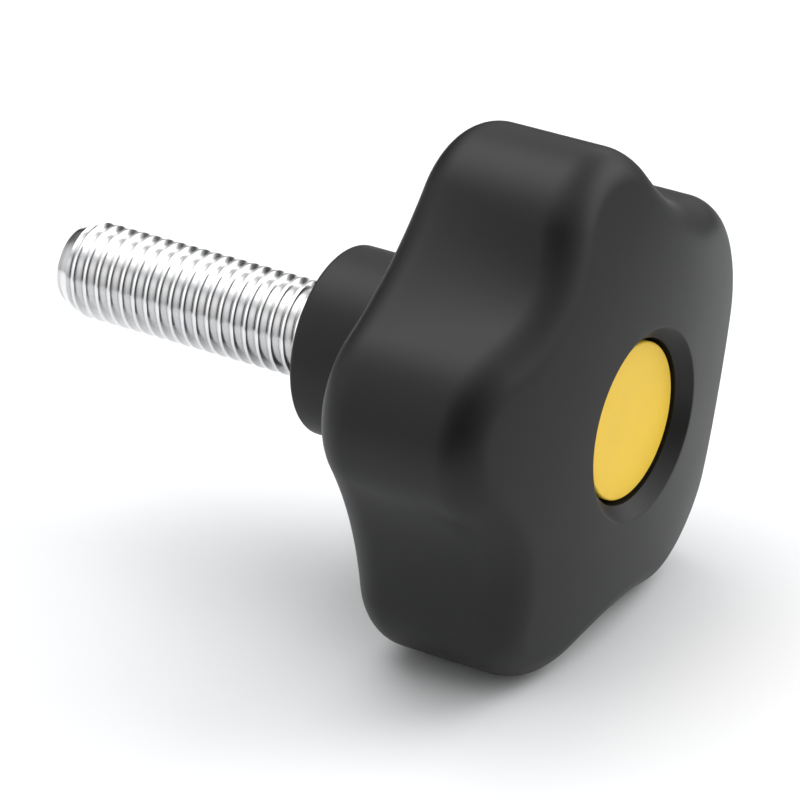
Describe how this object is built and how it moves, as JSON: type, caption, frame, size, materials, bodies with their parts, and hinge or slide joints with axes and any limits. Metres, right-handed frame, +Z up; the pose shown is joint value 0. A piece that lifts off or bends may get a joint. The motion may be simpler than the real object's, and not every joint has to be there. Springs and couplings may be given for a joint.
{
  "type": "five-lobe clamping knob",
  "caption": "Black lobed clamping knob with a domed face, a yellow press-in cap, a round hub and a moulded-in threaded steel stud.",
  "frame": {"origin": "on the knob's axis, in the plane of the hub's seat, where the thread ends", "axes": "+X along the axis from the screw's tip to the domed face, +Z up through the crest of the top lobe"},
  "size_m": [0.0668, 0.053, 0.0515],
  "materials": {
    "moulding": "satin moulded",
    "zinc_steel": "bright zinc-plated",
    "cap_plastic": "matte moulded"
  },
  "bodies": {
    "root": {"knob_body": "moulding", "threaded_stud": "zinc_steel", "cap": "cap_plastic"}
  },
  "joints": []
}
